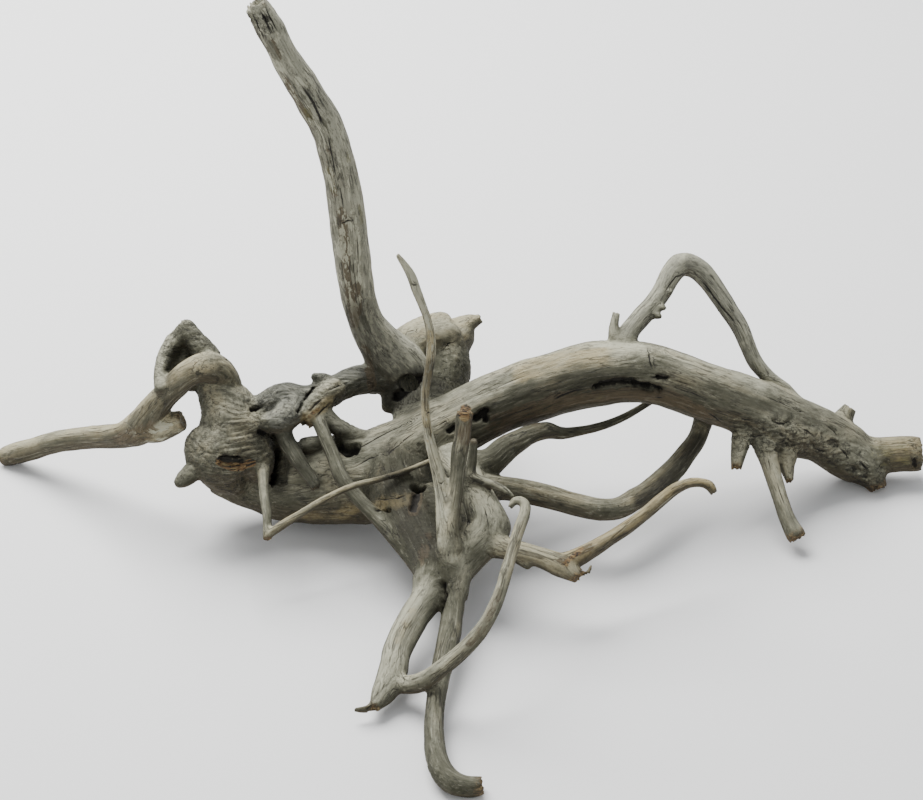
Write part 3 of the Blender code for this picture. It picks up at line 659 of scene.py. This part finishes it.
# Stains, painted shade and painted light by kind, with their width in millimetres and how strong they
# are
STAINS_AND_PAINTED_LIGHT = {
    "gnarled": [
        (34, 0.9, [(742, 436), (775, 436), (810, 446), (850, 462), (872, 478)]),
        (14, 0.7, [(250, 20), (260, 14), (266, 30)]),
    ],
    "bark": [
        (6, 0.9, [(286, 80), (296, 99), (309, 117)]),
        (8, 1.0, [(341, 212), (345, 240), (346, 268), (350, 296), (354, 312), (355, 324)]),
        (6, 1.4, [(357, 286), (358, 312)]), (7, 1.4, [(366, 348), (370, 372), (372, 386)]),
        (6, 0.7, [(272, 40), (279, 58)]), (7, 0.6, [(327, 142), (331, 172), (336, 200)]),
        (17, 0.8, [(553, 405), (590, 397), (630, 394), (672, 400), (705, 416)]),
        (22, 0.7, [(470, 434), (500, 424), (535, 411), (560, 402)]),
        (14, 0.6, [(716, 424), (732, 432)]), (8, 0.9, [(598, 393), (630, 393), (656, 397)]),
        (9, 1.2, [(417, 496), (413, 512)]), (16, 0.7, [(118, 437), (134, 436), (150, 428)]),
        (6, 0.6, [(572, 548), (576, 560)]), (8, 0.8, [(562, 560), (574, 556), (590, 546)]),
        (11, 0.6, [(425, 538), (424, 562)]), (8, 0.6, [(500, 590), (486, 622), (470, 644)]),
    ],
    "moss": [
        (20, 0.5, [(876, 456), (905, 455)]), (8, 0.9, [(348, 154), (350, 160)]),
        (8, 0.9, [(307, 110), (311, 120)]), (8, 0.9, [(361, 208), (363, 222)]),
        (9, 0.6, [(330, 168), (333, 190)]),
    ],
    # Painted shade, laid where shade falls: at the tall limb's foot, in recesses, on the crown, in
    # hollows, the slit and under the trunk
    "shade": [
        (38, 0.7, [(358, 318), (366, 336), (378, 352), (392, 366)]),
        (26, 1.2, [(398, 398), (408, 390), (420, 380), (428, 374)]),
        (20, 0.8, [(408, 402), (424, 396), (438, 386)]),
        (30, 0.75, [(392, 474), (404, 500), (412, 526), (424, 546)]),
        (12, 0.6, [(430, 500), (430, 530), (436, 556)]),
        (26, 0.45, [(500, 412), (540, 392), (580, 382), (600, 384)]),
        (9, 0.5, [(600, 390), (640, 390), (660, 394)]),
        (16, 0.7, [(275, 446), (280, 465), (279, 486)]), (12, 0.5, [(262, 434), (276, 437)]),
        (14, 0.6, [(336, 444), (356, 450)]), (14, 0.5, [(172, 352), (178, 364), (170, 374)]),
        (13, 0.8, [(640, 500), (662, 484), (682, 462), (698, 440)]),
    ],
    # Paler patches, partly sun bleaching and partly painted light: on the right burl, the upper tall
    # limb and the lit top of the trunk
    "bleach_and_painted_light": [
        (30, 0.6, [(742, 432), (775, 430), (810, 440), (850, 458), (868, 470)]),
        (20, 0.5, [(290, 70), (318, 112), (340, 168), (354, 216)]),
        (13, 0.9, [(360, 206), (370, 240), (376, 280), (378, 300)]),
        (18, 0.6, [(420, 325), (440, 321), (462, 322)]),
        (12, 0.8, [(600, 346), (640, 346), (680, 356), (720, 369), (760, 384)]),
    ],
    "straw": [
        (20, 0.9, [(520, 373), (545, 362), (575, 356), (600, 354)]),
        (16, 0.7, [(306, 517), (340, 515), (380, 507), (410, 500)]),
        (11, 0.9, [(330, 400), (318, 410), (306, 418)]),
        (7, 1.3, [(430, 334), (428, 375), (425, 400), (425, 420), (429, 438)]),
        (9, 0.6, [(398, 640), (414, 612)]),
    ],
    "rust": [
        (5, 0.7, [(309, 417), (318, 409)]),
        (8, 1.1, [(220, 462), (230, 466), (242, 467), (251, 463)]),
        (7, 0.7, [(566, 564), (574, 555), (581, 548)]), (9, 1.0, [(465, 409), (464.5, 416)]),
    ],
}

# Broken and cut ends: which limb, which of its ends, how ragged and how hollow it is in millimetres,
# and how much fresh brown wood shows
ENDS = [
    (TALL_LIMB, 0, 4.0, 9.0, 0.35), (CUT_TWIG, 0, 3.0, 1.0, 1.0), (ELBOW_STUB, -1, 0.6, 1.0, 0.6),
    (ARM, -1, 1.5, 1.0, 0.6), (RIGHT_END, -1, 1.5, 1.0, 0.4), (TRUNK, -1, 2.5, 1.0, 0.8),
    (LONG_ROOT, -1, 2.5, 2.0, 0.8), (LEFT_FOOT, -1, 2.5, 1.0, 0.6), (FRONT_BRANCH, -1, 3.0, 1.0, 0.9),
    (TAN_BRANCH, -1, 2.0, 0.0, 0.3), (SPLINTERED_BLOCK, -1, 5.0, 2.0, 0.5),
    (HANGING_ROOT, -1, 1.0, 0.0, 0.7), (BROKEN_PEG, -1, 1.5, 0.0, 0.3), (HOOKED_ROOT, -1, 1.5, 0.0, 0.2),
    (TIP_SPLINTER, -1, 2.0, 0.0, 0.2), (BACK_BURL, -1, 2.0, 0.0, 0.2), (RIGHT_THORN, -1, 1.5, 0.0, 0.3),
    (ARCH_NUB, -1, 1.0, 0.0, 0.3), (HEAD_CREST, 0, 2.0, 0.0, 0.1),
    *((stub, -1, 3.0, 1.0, 0.8) for stub in HANGING_STUBS),
]
END_FIBRE = 2.2

# As shares of the limb's radius: how far out an end lies, how deep and broad the changed wood is, and
# how deep and broad the collar round it is, which shows this share of the fresh wood
END_LEVEL = 0.3
END_DEPTH = 1.5
END_BREADTH = 1.4
COLLAR_DEPTH = 1.1
COLLAR_BREADTH = 1.2
COLLAR_FRESHNESS = 0.7

# How far aside a crack is known, where it starts to fade and how far its narrowest cut reaches, in
# millimetres, and the share of a point's height over the crack that is left out of its distance
CRACK_REACH = 4.0
CRACK_SHADOW = 2.4
CRACK_NARROWEST = 1.6
CRACK_SINK = 0.8


def seen_on(skin, line):
    """Where a line of drawn points lies on the skin that is seen there from the front."""
    eye = np.array(place(DRAWING_CENTRE_ACROSS, DRAWING_CENTRE_DOWN, DRAWING_BACK - VIEW_DISTANCE))
    found = []
    for across, down in line:
        aim = Vector(np.array(place(across, down, DRAWING_BACK)) - eye).normalized()
        hit, facing = skin.ray_cast(Vector(eye), aim)[:2]
        if hit:
            found.append((*hit, *facing))
    return np.array(found)


def beside(points, first, second):
    """How far points lie from a stretch, and how far along it, from 0 to 1, is nearest to them."""
    run = second - first
    along = np.clip((points - first) @ run / (run @ run), 0, 1)
    return np.linalg.norm(points - first - along[:, None] * run, axis=1), along


def near_line(points, line, reach):
    """Which points lie in the box round a line, widened by this reach on every side."""
    low = line[:, :3].min(0) - reach
    high = line[:, :3].max(0) + reach
    return np.flatnonzero(((points > low) & (points < high)).all(1))


def crack_map(points, lines):
    """For each point, how far aside it lies from its nearest crack in half widths, signed by the side,
    how much the crack shows there, and how deep it is cut in millimetres."""
    nearest = np.full(len(points), CRACK_REACH * MILLIMETRE)
    aside = np.full(len(points), CRACK_REACH)
    shown = np.zeros(len(points))
    cut = np.zeros(len(points))
    for width, depth, line in lines:
        inside = near_line(points, line, 2 * CRACK_REACH * MILLIMETRE)
        last = len(line) - 2
        for index, (first, second) in enumerate(zip(line, line[1:])):
            rise = (points[inside] - first[:3]) @ first[3:] / MILLIMETRE
            rise = np.clip(rise, -CRACK_REACH, CRACK_REACH)
            level = points[inside] - CRACK_SINK * MILLIMETRE * rise[:, None] * first[3:]
            distance, along = beside(level, first[:3], second[:3])
            closer = distance < nearest[inside]
            some = inside[closer]
            distance = distance[closer]
            along = along[closer]
            nearest[some] = distance
            side = np.cross(second[:3] - first[:3], first[3:])
            half = 0.5 * width * MILLIMETRE
            taper = 1 - (index == 0) * (1 - ramp(along, 0, 0.8)) - (index == last) * ramp(along, 0.2, 1)
            faded = ramp(distance, CRACK_SHADOW * MILLIMETRE, CRACK_REACH * MILLIMETRE)
            aside[some] = np.sign((points[some] - first[:3]) @ side) * distance / half
            shown[some] = (1 - faded) * taper
            cut[some] = depth * taper * (1 - ramp(distance, 0, max(half, CRACK_NARROWEST * MILLIMETRE)))
    return aside, shown, cut


def hole_map(points, lines):
    """How far the holes push each point in, in metres, and how deep inside a hole it lies, 0 to 1."""
    moved = np.zeros_like(points)
    inside = np.zeros(len(points))
    for depth, half, line in lines:
        inward = -line[:, 3:].mean(0)
        inward /= np.linalg.norm(inward)
        near = near_line(points, line, (depth + 2 * half) * MILLIMETRE)
        ragged = HOLE_RAGGED * noise_at(points[near], HOLE_LUMP)
        for first, second in zip(line, line[1:]):
            sunk = (points[near] - first[:3]) @ inward
            sunk = np.clip(sunk, 0, (depth + HOLE_FLOOR) * MILLIMETRE)
            distance = beside(points[near] - sunk[:, None] * inward, first[:3], second[:3])[0]
            hole = 1 - ramp(distance / MILLIMETRE + ragged, 0.5 * half, half + HOLE_RIM)
            more = hole > inside[near]
            moved[near[more]] = (depth * MILLIMETRE * hole[more])[:, None] * inward
            inside[near[more]] = hole[more]
    return moved, inside


def stain_and_painted_light_map(points, lines):
    """How strong each kind of stain, painted shade and painted light is at each point."""
    strengths = {name: np.zeros(len(points)) for name in STAINS_AND_PAINTED_LIGHT}
    for name, width, strength, line in lines:
        reach = width * MILLIMETRE
        inside = near_line(points, line, reach)
        for first, second in zip(line, line[1:]):
            distance = beside(points[inside], first[:3], second[:3])[0]
            spot = strength * (1 - ramp(distance, 0.25 * reach, reach))
            strengths[name][inside] = np.maximum(strengths[name][inside], spot)
    return strengths


def end_map(points, outward):
    """How far the broken ends push each point out along the fibres, and how fresh the wood is there."""
    moved = np.zeros_like(points)
    fresh = np.zeros(len(points))
    for route, end, ragged, hollow, freshness in ENDS:
        rings = smooth_route(route)
        middle, radius, _ = rings[end]
        inner = rings[3 if end == 0 else -4][0]
        axis = np.array((middle - inner).normalized())
        offset = points - np.array(middle)
        rise = offset @ axis
        aside = np.linalg.norm(offset - rise[:, None] * axis, axis=1)
        close = (np.abs(rise) < END_DEPTH * radius) & (aside < END_BREADTH * radius)
        near = np.flatnonzero(close)
        facing = ramp(outward[near] @ axis, 0.2, 0.6) * (1 - ramp(aside[near] / radius, 0.95, 1.15))
        facing *= ramp(rise[near] / radius, -0.6, -0.2)
        across = offset[near] - rise[near, None] * axis
        fibres = noise_at(across + 0.1 * (end + 1), END_FIBRE)
        sunk = hollow * (1 - ramp(aside[near] / radius, 0.2, 0.75))
        level = END_LEVEL * radius + (ragged * fibres - sunk) * MILLIMETRE
        moved[near] += (facing * (level - rise[near]))[:, None] * axis
        collar = ramp(rise[near], -COLLAR_DEPTH * radius, 0) * (aside[near] < COLLAR_BREADTH * radius)
        bared = np.maximum(facing, COLLAR_FRESHNESS * collar)
        fresh[near] = np.maximum(fresh[near], freshness * bared)
    return moved, fresh


crack_lines = [(width, depth, seen_on(skin, line)) for width, depth, line in CRACKS]
hole_lines = [(depth, half, seen_on(skin, line)) for depth, half, line in HOLES]
stain_and_painted_light_lines = [
    (name, width, strength, seen_on(skin, line))
    for name, marks in STAINS_AND_PAINTED_LIGHT.items()
    for width, strength, line in marks
]
points, outward = points_of(driftwood.data)
lie = lie_of_wood(points)
cut = crack_map(points, crack_lines)[2]
torn = end_map(points, outward)[0]
holed = hole_map(points, hole_lines)[0]
gnarled = stain_and_painted_light_map(points, stain_and_painted_light_lines)["gnarled"]
points += outward * ((relief(points, lie, gnarled) - cut) * MILLIMETRE)[:, None] + torn + holed
points[:, 2] = np.maximum(points[:, 2], 0)
driftwood.data.vertices.foreach_set("co", points.ravel())
driftwood.data.update()
triangles = sum(len(face.vertices) - 2 for face in driftwood.data.polygons)
thinned = driftwood.modifiers.new("faces_thinned_out", "DECIMATE")
thinned.ratio = min(1, KEPT_TRIANGLES / triangles)
settle(driftwood)

# What the finish needs to know at each point of the skin
points, outward = points_of(driftwood.data)
lie = lie_of_wood(points)
aside, shown = crack_map(points, crack_lines)[:2]
stains_and_painted_light = stain_and_painted_light_map(points, stain_and_painted_light_lines)
kept_numbers = {
    "paleness": lie[:, PALENESS],
    "brownness": lie[:, BROWNNESS],
    "wrinkles": wrinkled_at(lie, stains_and_painted_light["gnarled"]),
    "height": relief(points, lie, stains_and_painted_light["gnarled"]),
    "hole": hole_map(points, hole_lines)[1],
    "crack_aside": aside,
    "crack_shown": shown,
    "fresh": end_map(points, outward)[1],
    **stains_and_painted_light,
}
for name, values in kept_numbers.items():
    kept = driftwood.data.attributes.new(name, "FLOAT", "POINT")
    kept.data.foreach_set("value", values.astype(np.float32))
for name, values in (("fibre", along_fibres(points, lie)), ("fold", along_folds(points))):
    kept = driftwood.data.attributes.new(name, "FLOAT_VECTOR", "POINT")
    kept.data.foreach_set("vector", values.astype(np.float32).ravel())


class Shade:
    """A node's output that Python's operators work on: each operator adds its Math node."""

    def __init__(self, finish, socket):
        self.finish = finish
        self.socket = socket

    def __add__(self, other):
        return self.finish.math("ADD", self, other)

    __radd__ = __add__

    def __sub__(self, other):
        return self.finish.math("SUBTRACT", self, other)

    def __rsub__(self, other):
        return self.finish.math("SUBTRACT", other, self)

    def __mul__(self, other):
        return self.finish.math("MULTIPLY", self, other)

    __rmul__ = __mul__

    def __abs__(self):
        return self.finish.math("ABSOLUTE", self)

    def ramp(self, low, high, bottom=0.0, top=1.0):
        """Rise smoothly from bottom at low to top at high."""
        return self.finish.add(
            "ShaderNodeMapRange", {"interpolation_type": "SMOOTHSTEP"},
            {"Value": self, "From Min": low, "From Max": high, "To Min": bottom, "To Max": top},
        )


class Finish:
    """A material whose nodes are added one by one."""

    def __init__(self, name):
        self.material = bpy.data.materials.new(name)
        self.material.use_nodes = True
        self.tree = self.material.node_tree
        self.surface = self.tree.nodes["Principled BSDF"]
        self.colour = None

    def add(self, kind, settings, sockets, output=0):
        """Add a node: its settings are set first, then each socket gets its value or link."""
        made = self.tree.nodes.new(kind)
        for name, value in settings.items():
            setattr(made, name, value)
        for name, value in sockets.items():
            if isinstance(value, Shade):
                self.tree.links.new(value.socket, made.inputs[name])
            else:
                made.inputs[name].default_value = value
        return Shade(self, made.outputs[output])

    def kept(self, name, output="Fac"):
        """What the mesh keeps under this name at each point."""
        return self.add("ShaderNodeAttribute", {"attribute_name": name}, {}, output)

    def noise(self, where, size, detail=2.0, roughness=0.5, distortion=0.0):
        """Cloudy noise from 0 to 1 whose lumps are about this many millimetres wide."""
        return self.add("ShaderNodeTexNoise", {}, {
            "Vector": where, "Scale": 1 / (size * MILLIMETRE), "Detail": detail,
            "Roughness": roughness, "Distortion": distortion,
        })

    def math(self, operation, first, second=0.0):
        """Work on one or two numbers with a Math node."""
        return self.add("ShaderNodeMath", {"operation": operation}, {0: first, 1: second})

    def mix(self, factor, first, second):
        """Mix two colours."""
        sockets = {0: factor, 6: first, 7: second}
        return self.add("ShaderNodeMix", {"data_type": "RGBA"}, sockets, output=2)

    def paint(self, cover, tint):
        """Lay a colour over those laid so far, as thickly as cover says."""
        self.colour = self.mix(cover, self.colour, tint)

    def put(self, **sockets):
        """Give the surface shader its values and links."""
        for name, value in sockets.items():
            socket = self.surface.inputs[name.replace("_", " ")]
            if isinstance(value, Shade):
                self.tree.links.new(value.socket, socket)
            else:
                socket.default_value = value


def seen(red, green, blue):
    """A colour as it looks on a screen, from 0 to 255, as light."""
    light = [
        part / 12.92 if part <= 0.04045 else ((part + 0.055) / 1.055) ** 2.4
        for part in (red / 255, green / 255, blue / 255)
    ]
    return (*light, 1)


SILVER = seen(170, 168, 146)
GREY = seen(93, 92, 76)
OLIVE = seen(55, 54, 38)
STRAW = seen(154, 138, 96)
BROWN = seen(62, 52, 33)
DARK = seen(20, 17, 12)
MOSS = seen(96, 92, 50)
RUST = seen(114, 84, 50)
BARK = seen(78, 66, 46)
STONE = seen(92, 93, 88)


def thin_lines(along, across, width):
    """Thin lines where noise crosses its middle: noise along the fibres, and across folds in burls."""
    along = abs(along - 0.5)
    across = abs(across - 0.5)
    return (along + (across - along) * wrinkles).ramp(0.0, width, 1.0, 0.0)


wood = Finish("weathered_wood")
where = wood.add("ShaderNodeTexCoord", {}, {}, "Object")
fibre = wood.kept("fibre", "Vector")
fold = wood.kept("fold", "Vector")
wrinkles = wood.kept("wrinkles")
height = wood.kept("height")
normal = wood.add("ShaderNodeNewGeometry", {}, {}, "Normal")
up = wood.add("ShaderNodeSeparateXYZ", {}, {0: normal}, "Z")

# Noises that the colours and the bump share, by the width of their lumps in millimetres
streaks = wood.noise(fibre, 9, 4.0, 0.6)
lines = wood.noise(fibre, 2.2, 3.0, 0.65)
creases = wood.noise(fold, 2.6, 3.0, 0.6)
clouds = wood.noise(where, 40, 3.0, 0.55)
drawn_out = wood.add("ShaderNodeMix", {"data_type": "VECTOR"}, {0: 0.75, 4: where, 5: fibre}, output=1)
flakes = wood.noise(drawn_out, 6, 4.0, 0.68)
patches = wood.noise(where, 11, 4.0, 0.65)
specks = wood.noise(where, 3.4, 2.0, 0.6)

# Silver where sun bleaches the wood, olive in the damp, painted light on tops, painted shade below
paleness = wood.kept("paleness")
# The up term is painted light on faces that point up and painted shade on the others; the paler patches
# are partly painted light
sun_bleach_and_painted_light = up * 0.75 - 0.04 + paleness * 0.8 + wood.kept("bleach_and_painted_light") * 0.5
sun_bleach_and_painted_light = sun_bleach_and_painted_light + (clouds - 0.5) * 0.7 + (streaks - 0.5) * 0.9 + (patches - 0.5) * 0.7
# Painted shade takes paleness away where the shade marks lie
sun_bleach_and_painted_light = sun_bleach_and_painted_light - wood.kept("shade") * 0.5
wood.colour = OLIVE
wood.paint(sun_bleach_and_painted_light.ramp(-0.15, 0.5), GREY)
wood.paint(sun_bleach_and_painted_light.ramp(0.35, 1.1), SILVER)
brownness = wood.kept("brownness")
stony = (0.05 - brownness).ramp(0.0, 0.4) * sun_bleach_and_painted_light.ramp(-0.1, 0.6, 0.2, 0.6)
wood.paint(stony, STONE)
# Warm brown streaks, paler on the tops where painted light falls
warm = brownness + (clouds - 0.5) * 0.9 + (streaks - 0.5) * 0.9
tan = wood.mix(sun_bleach_and_painted_light.ramp(0.1, 0.9), BROWN, STRAW)
wood.paint(warm.ramp(0.1, 1.1) * 0.8, tan)
# Brown on the undersides: partly dirt and partly painted shade under the limbs
underside_dirt_and_shade = 0.05 - up + (streaks - 0.5) * 0.5 + (clouds - 0.5) * 0.4
wood.paint(underside_dirt_and_shade.ramp(-0.3, 0.7) * 0.75, BROWN)

# Straw-coloured wood, rests of bark and moss: how uneven and how flaky they are, where they begin
# and are full, how much they cover, and their colour
uneven = (patches - 0.5) * 1.6 + (streaks - 0.5) * 1.6
for name, unevenness, flakiness, thin, full, cover, tint in (
    ("straw", 0.8, 0.0, 0.2, 1.0, 0.55, STRAW),
    ("bark", 0.6, 1.6, 0.35, 0.65, 0.8, BARK),
    ("moss", 0.6, 2.0, 0.4, 0.7, 0.5, MOSS),
):
    spread = wood.kept(name) + uneven * unevenness + (flakes - 0.5) * flakiness
    wood.paint(spread.ramp(thin, full) * cover, tint)

# Flakes of the silver skin, with olive wood between them and brown rims
grain = lines + (creases - lines) * wrinkles
flaky = paleness.ramp(0.3, 1.1, 0.3, 1.0)
silvery = flaky * flakes.ramp(0.51, 0.57) * sun_bleach_and_painted_light.ramp(0.2, 1.0, 0.15, 0.9)
wood.paint(silvery, SILVER)
wood.paint(flaky * flakes.ramp(0.34, 0.44, 1.0, 0.0) * 0.7, OLIVE)
rims = abs(flakes - 0.52).ramp(0.0, 0.014, 1.0, 0.0) * clouds.ramp(0.4, 0.6)
wood.paint(rims * flaky * 0.7, BROWN)
wood.paint(grain.ramp(0.3, 0.45, 0.55, 0.0), OLIVE)
wood.paint(grain.ramp(0.55, 0.75, 0.0, 0.35), SILVER)

# Dark hairs and splits between the fibres, scars on the burls and specks of dirt
hairs = thin_lines(wood.noise(fibre, 3.2, 2.0, 0.5), wood.noise(fold, 2.6, 3.0, 0.5), 0.03)
hairs = hairs * patches.ramp(0.42, 0.6)
splits = thin_lines(wood.noise(fibre, 7, 3.0, 0.5), wood.noise(fold, 5, 3.0, 0.55), 0.032)
splits = splits * (clouds + wrinkles * 0.1).ramp(0.4, 0.56)
scars = abs(wood.noise(where, 8, 2.0, 0.6, 0.6) - 0.5).ramp(0.0, 0.06, 1.0, 0.0)
scars = scars * patches.ramp(0.38, 0.56) * (wrinkles * 0.4 + wood.kept("gnarled") * 0.6)
wood.paint(hairs * (wrinkles * 0.25 + 0.45), DARK)
wood.paint(splits * 0.65, DARK)
wood.paint(scars * 0.75, DARK)
wood.paint(specks.ramp(0.66, 0.74, 0.0, 0.7) * patches.ramp(0.5, 0.6), DARK)

# Broken ends, torn pockets, and painted shade in deep furrows, at the bottoms of hollows and in the
# cracks
torn_fibres = wood.noise(drawn_out, 2.4, 3.0, 0.6, 0.5)
split_fibres = wood.mix(torn_fibres.ramp(0.5, 0.7), RUST, STRAW)
broken = wood.mix(torn_fibres.ramp(0.4, 0.62), BROWN, split_fibres)
wood.paint((wood.kept("fresh") + uneven * 0.5).ramp(0.25, 0.8) * 0.8, broken)
# Painted shade: the wood darkens where the relief cuts deep, as shade in furrows, folds and pits
wood.paint(height.ramp(-3.0, -1.1, 0.75, 0.0), DARK)
# Painted shade: the shade marks darken the wood where shade falls
wood.paint((wood.kept("shade") + uneven * 0.25).ramp(0.05, 1.2) * 0.6, DARK)
# Painted shade at the bottoms of the hollows
wood.paint(wood.kept("hole").ramp(0.2, 0.8) * 0.9, DARK)
splinters = wood.noise(fold, 2.4, 3.0, 0.6, 0.4)
bare_splinters = wood.mix(splinters.ramp(0.5, 0.7), RUST, STRAW)
torn_wood = wood.mix(splinters.ramp(0.4, 0.54), DARK, bare_splinters)
wood.paint((wood.kept("rust") + uneven * 0.35).ramp(0.4, 0.7) * 0.9, torn_wood)
# Painted shade along the cracks, darkest over their cut
off_crack = abs(wood.kept("crack_aside") + (specks - 0.5) * 0.8)
crack = off_crack.ramp(0.5, 1.3, 1.0, 0.0) * wood.kept("crack_shown")
wood.paint(crack * 0.9, DARK)

# The finest relief, too small for the mesh
grooves = grain * 0.8 + specks * 0.35 + streaks * 0.5 + patches * 0.4 - crack * 1.5 - splits * 0.7
grooves = grooves - hairs * 0.4 - scars * 0.7 + flakes.ramp(0.48, 0.56) * 0.35
bump = wood.add("ShaderNodeBump", {}, {
    "Strength": 0.8, "Distance": 1.2 * MILLIMETRE, "Height": grooves,
})
wood.put(Base_Color=wood.colour, Roughness=grain.ramp(0.2, 0.8, 0.95, 0.8), Normal=bump)

driftwood.data.materials.clear()
driftwood.data.materials.append(wood.material)
driftwood.data.shade_smooth()
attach(driftwood, "root")
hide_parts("driftwood")

# The floor is a wide, plain, pale sheet of paper with a matt face, laid flat at the level that the
# piece stands on.
FLOOR_SIDE = 14.0
FLOOR_COLOUR = (0.88, 0.88, 0.87, 1)
FLOOR_ROUGHNESS = 0.9
slab = bmesh.new()
bmesh.ops.create_grid(slab, x_segments=2, y_segments=2, size=0.5 * FLOOR_SIDE)
floor_mesh = bpy.data.meshes.new("studio_floor")
slab.to_mesh(floor_mesh)
slab.free()
floor = bpy.data.objects.new("studio_floor", floor_mesh)
bpy.context.scene.collection.objects.link(floor)
paper = Finish("pale_paper")
paper.put(Base_Color=FLOOR_COLOUR, Roughness=FLOOR_ROUGHNESS)
floor.data.materials.append(paper.material)

# The studio light is soft: a wide panel overhead and a little to the left, a weaker one in front, and
# an even glow all round.
PANELS = [
    ("key_panel", (-0.9, 1.8, 2.4), 2.2, 210.0),
    ("fill_panel", (-1.6, -2.4, 1.6), 2.4, 10.0),
]
AIM = Vector((0, 0.3, 0.15))
GLOW = (0.95, 0.97, 1.0, 1)
GLOW_STRENGTH = 0.6
for name, spot, side, power in PANELS:
    panel = bpy.data.lights.new(name, "AREA")
    panel.shape = "SQUARE"
    panel.size = side
    panel.energy = power
    lamp = bpy.data.objects.new(name, panel)
    lamp.location = spot
    lamp.rotation_euler = (AIM - Vector(spot)).to_track_quat("-Z", "Y").to_euler()
    bpy.context.scene.collection.objects.link(lamp)
world = bpy.data.worlds.new("studio_glow")
world.use_nodes = True
glow = world.node_tree.nodes["Background"]
glow.inputs["Color"].default_value = GLOW
glow.inputs["Strength"].default_value = GLOW_STRENGTH
bpy.context.scene.world = world

# The camera stands in front of the piece, looks down on it at the drawing's slant and takes in the
# drawing's full width.
PICTURE_WIDTH = 923.0
SENSOR_WIDTH = 36.0
camera_data = bpy.data.cameras.new("camera")
camera_data.sensor_width = SENSOR_WIDTH
camera_data.lens = SENSOR_WIDTH * VIEW_DISTANCE / PICTURE_WIDTH
camera = bpy.data.objects.new("camera", camera_data)
middle = place(DRAWING_CENTRE_ACROSS, DRAWING_CENTRE_DOWN, DRAWING_BACK)
stand = middle - VIEW_DISTANCE * MILLIMETRE * BACKWARD
turn = Matrix((Vector((1, 0, 0)), UPWARD, -BACKWARD)).transposed().to_4x4()
camera.matrix_world = Matrix.Translation(stand) @ turn
bpy.context.scene.collection.objects.link(camera)
bpy.context.scene.camera = camera
